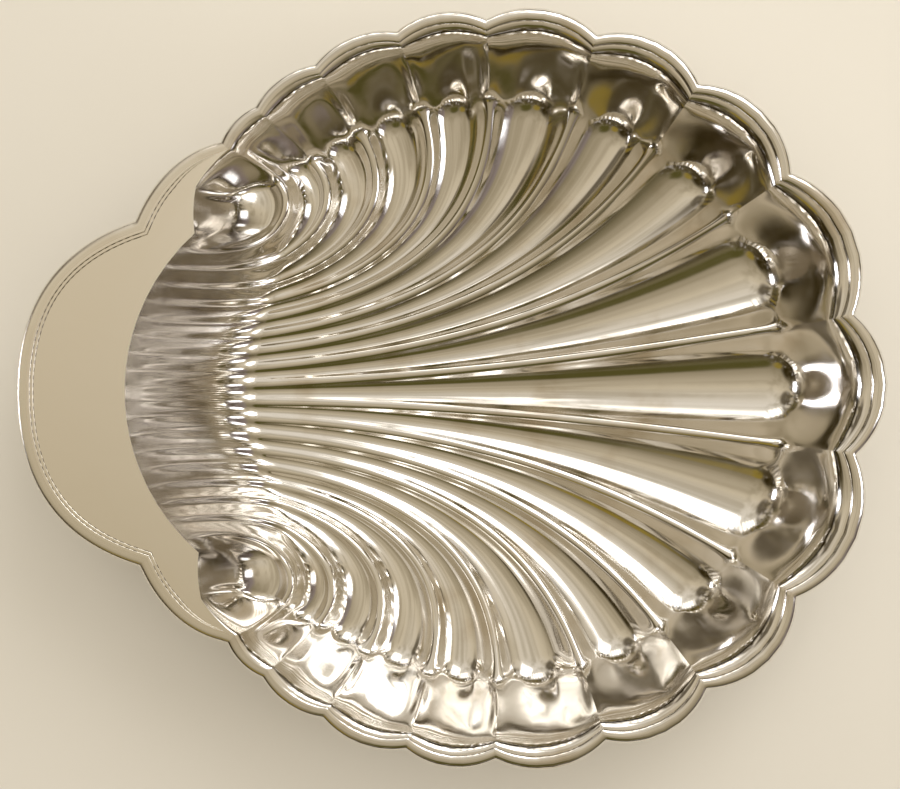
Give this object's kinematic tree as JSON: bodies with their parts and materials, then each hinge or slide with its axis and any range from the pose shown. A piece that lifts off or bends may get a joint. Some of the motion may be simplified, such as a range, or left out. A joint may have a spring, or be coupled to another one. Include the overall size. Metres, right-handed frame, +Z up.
{
  "type": "shell bonbon bowl",
  "caption": "Shallow scallop-shell serving bowl, pressed from plated sheet metal, with fanned flutes, a lobed turned edge and a flat carrying lug.",
  "frame": {"origin": "middle of the bounding box, on the plane that the undersides of the flutes rest on", "axes": "+X from the carrying lug to the front of the rim, +Y across the bowl, +Z up; the bowl is symmetric about the XZ plane"},
  "size_m": [0.2544, 0.2228, 0.044],
  "materials": {
    "silver_plate": "polished silver plate, mirror bright in the flutes and satin on the lug"
  },
  "bodies": {
    "root": {"shell_bowl": "silver_plate"}
  },
  "joints": []
}
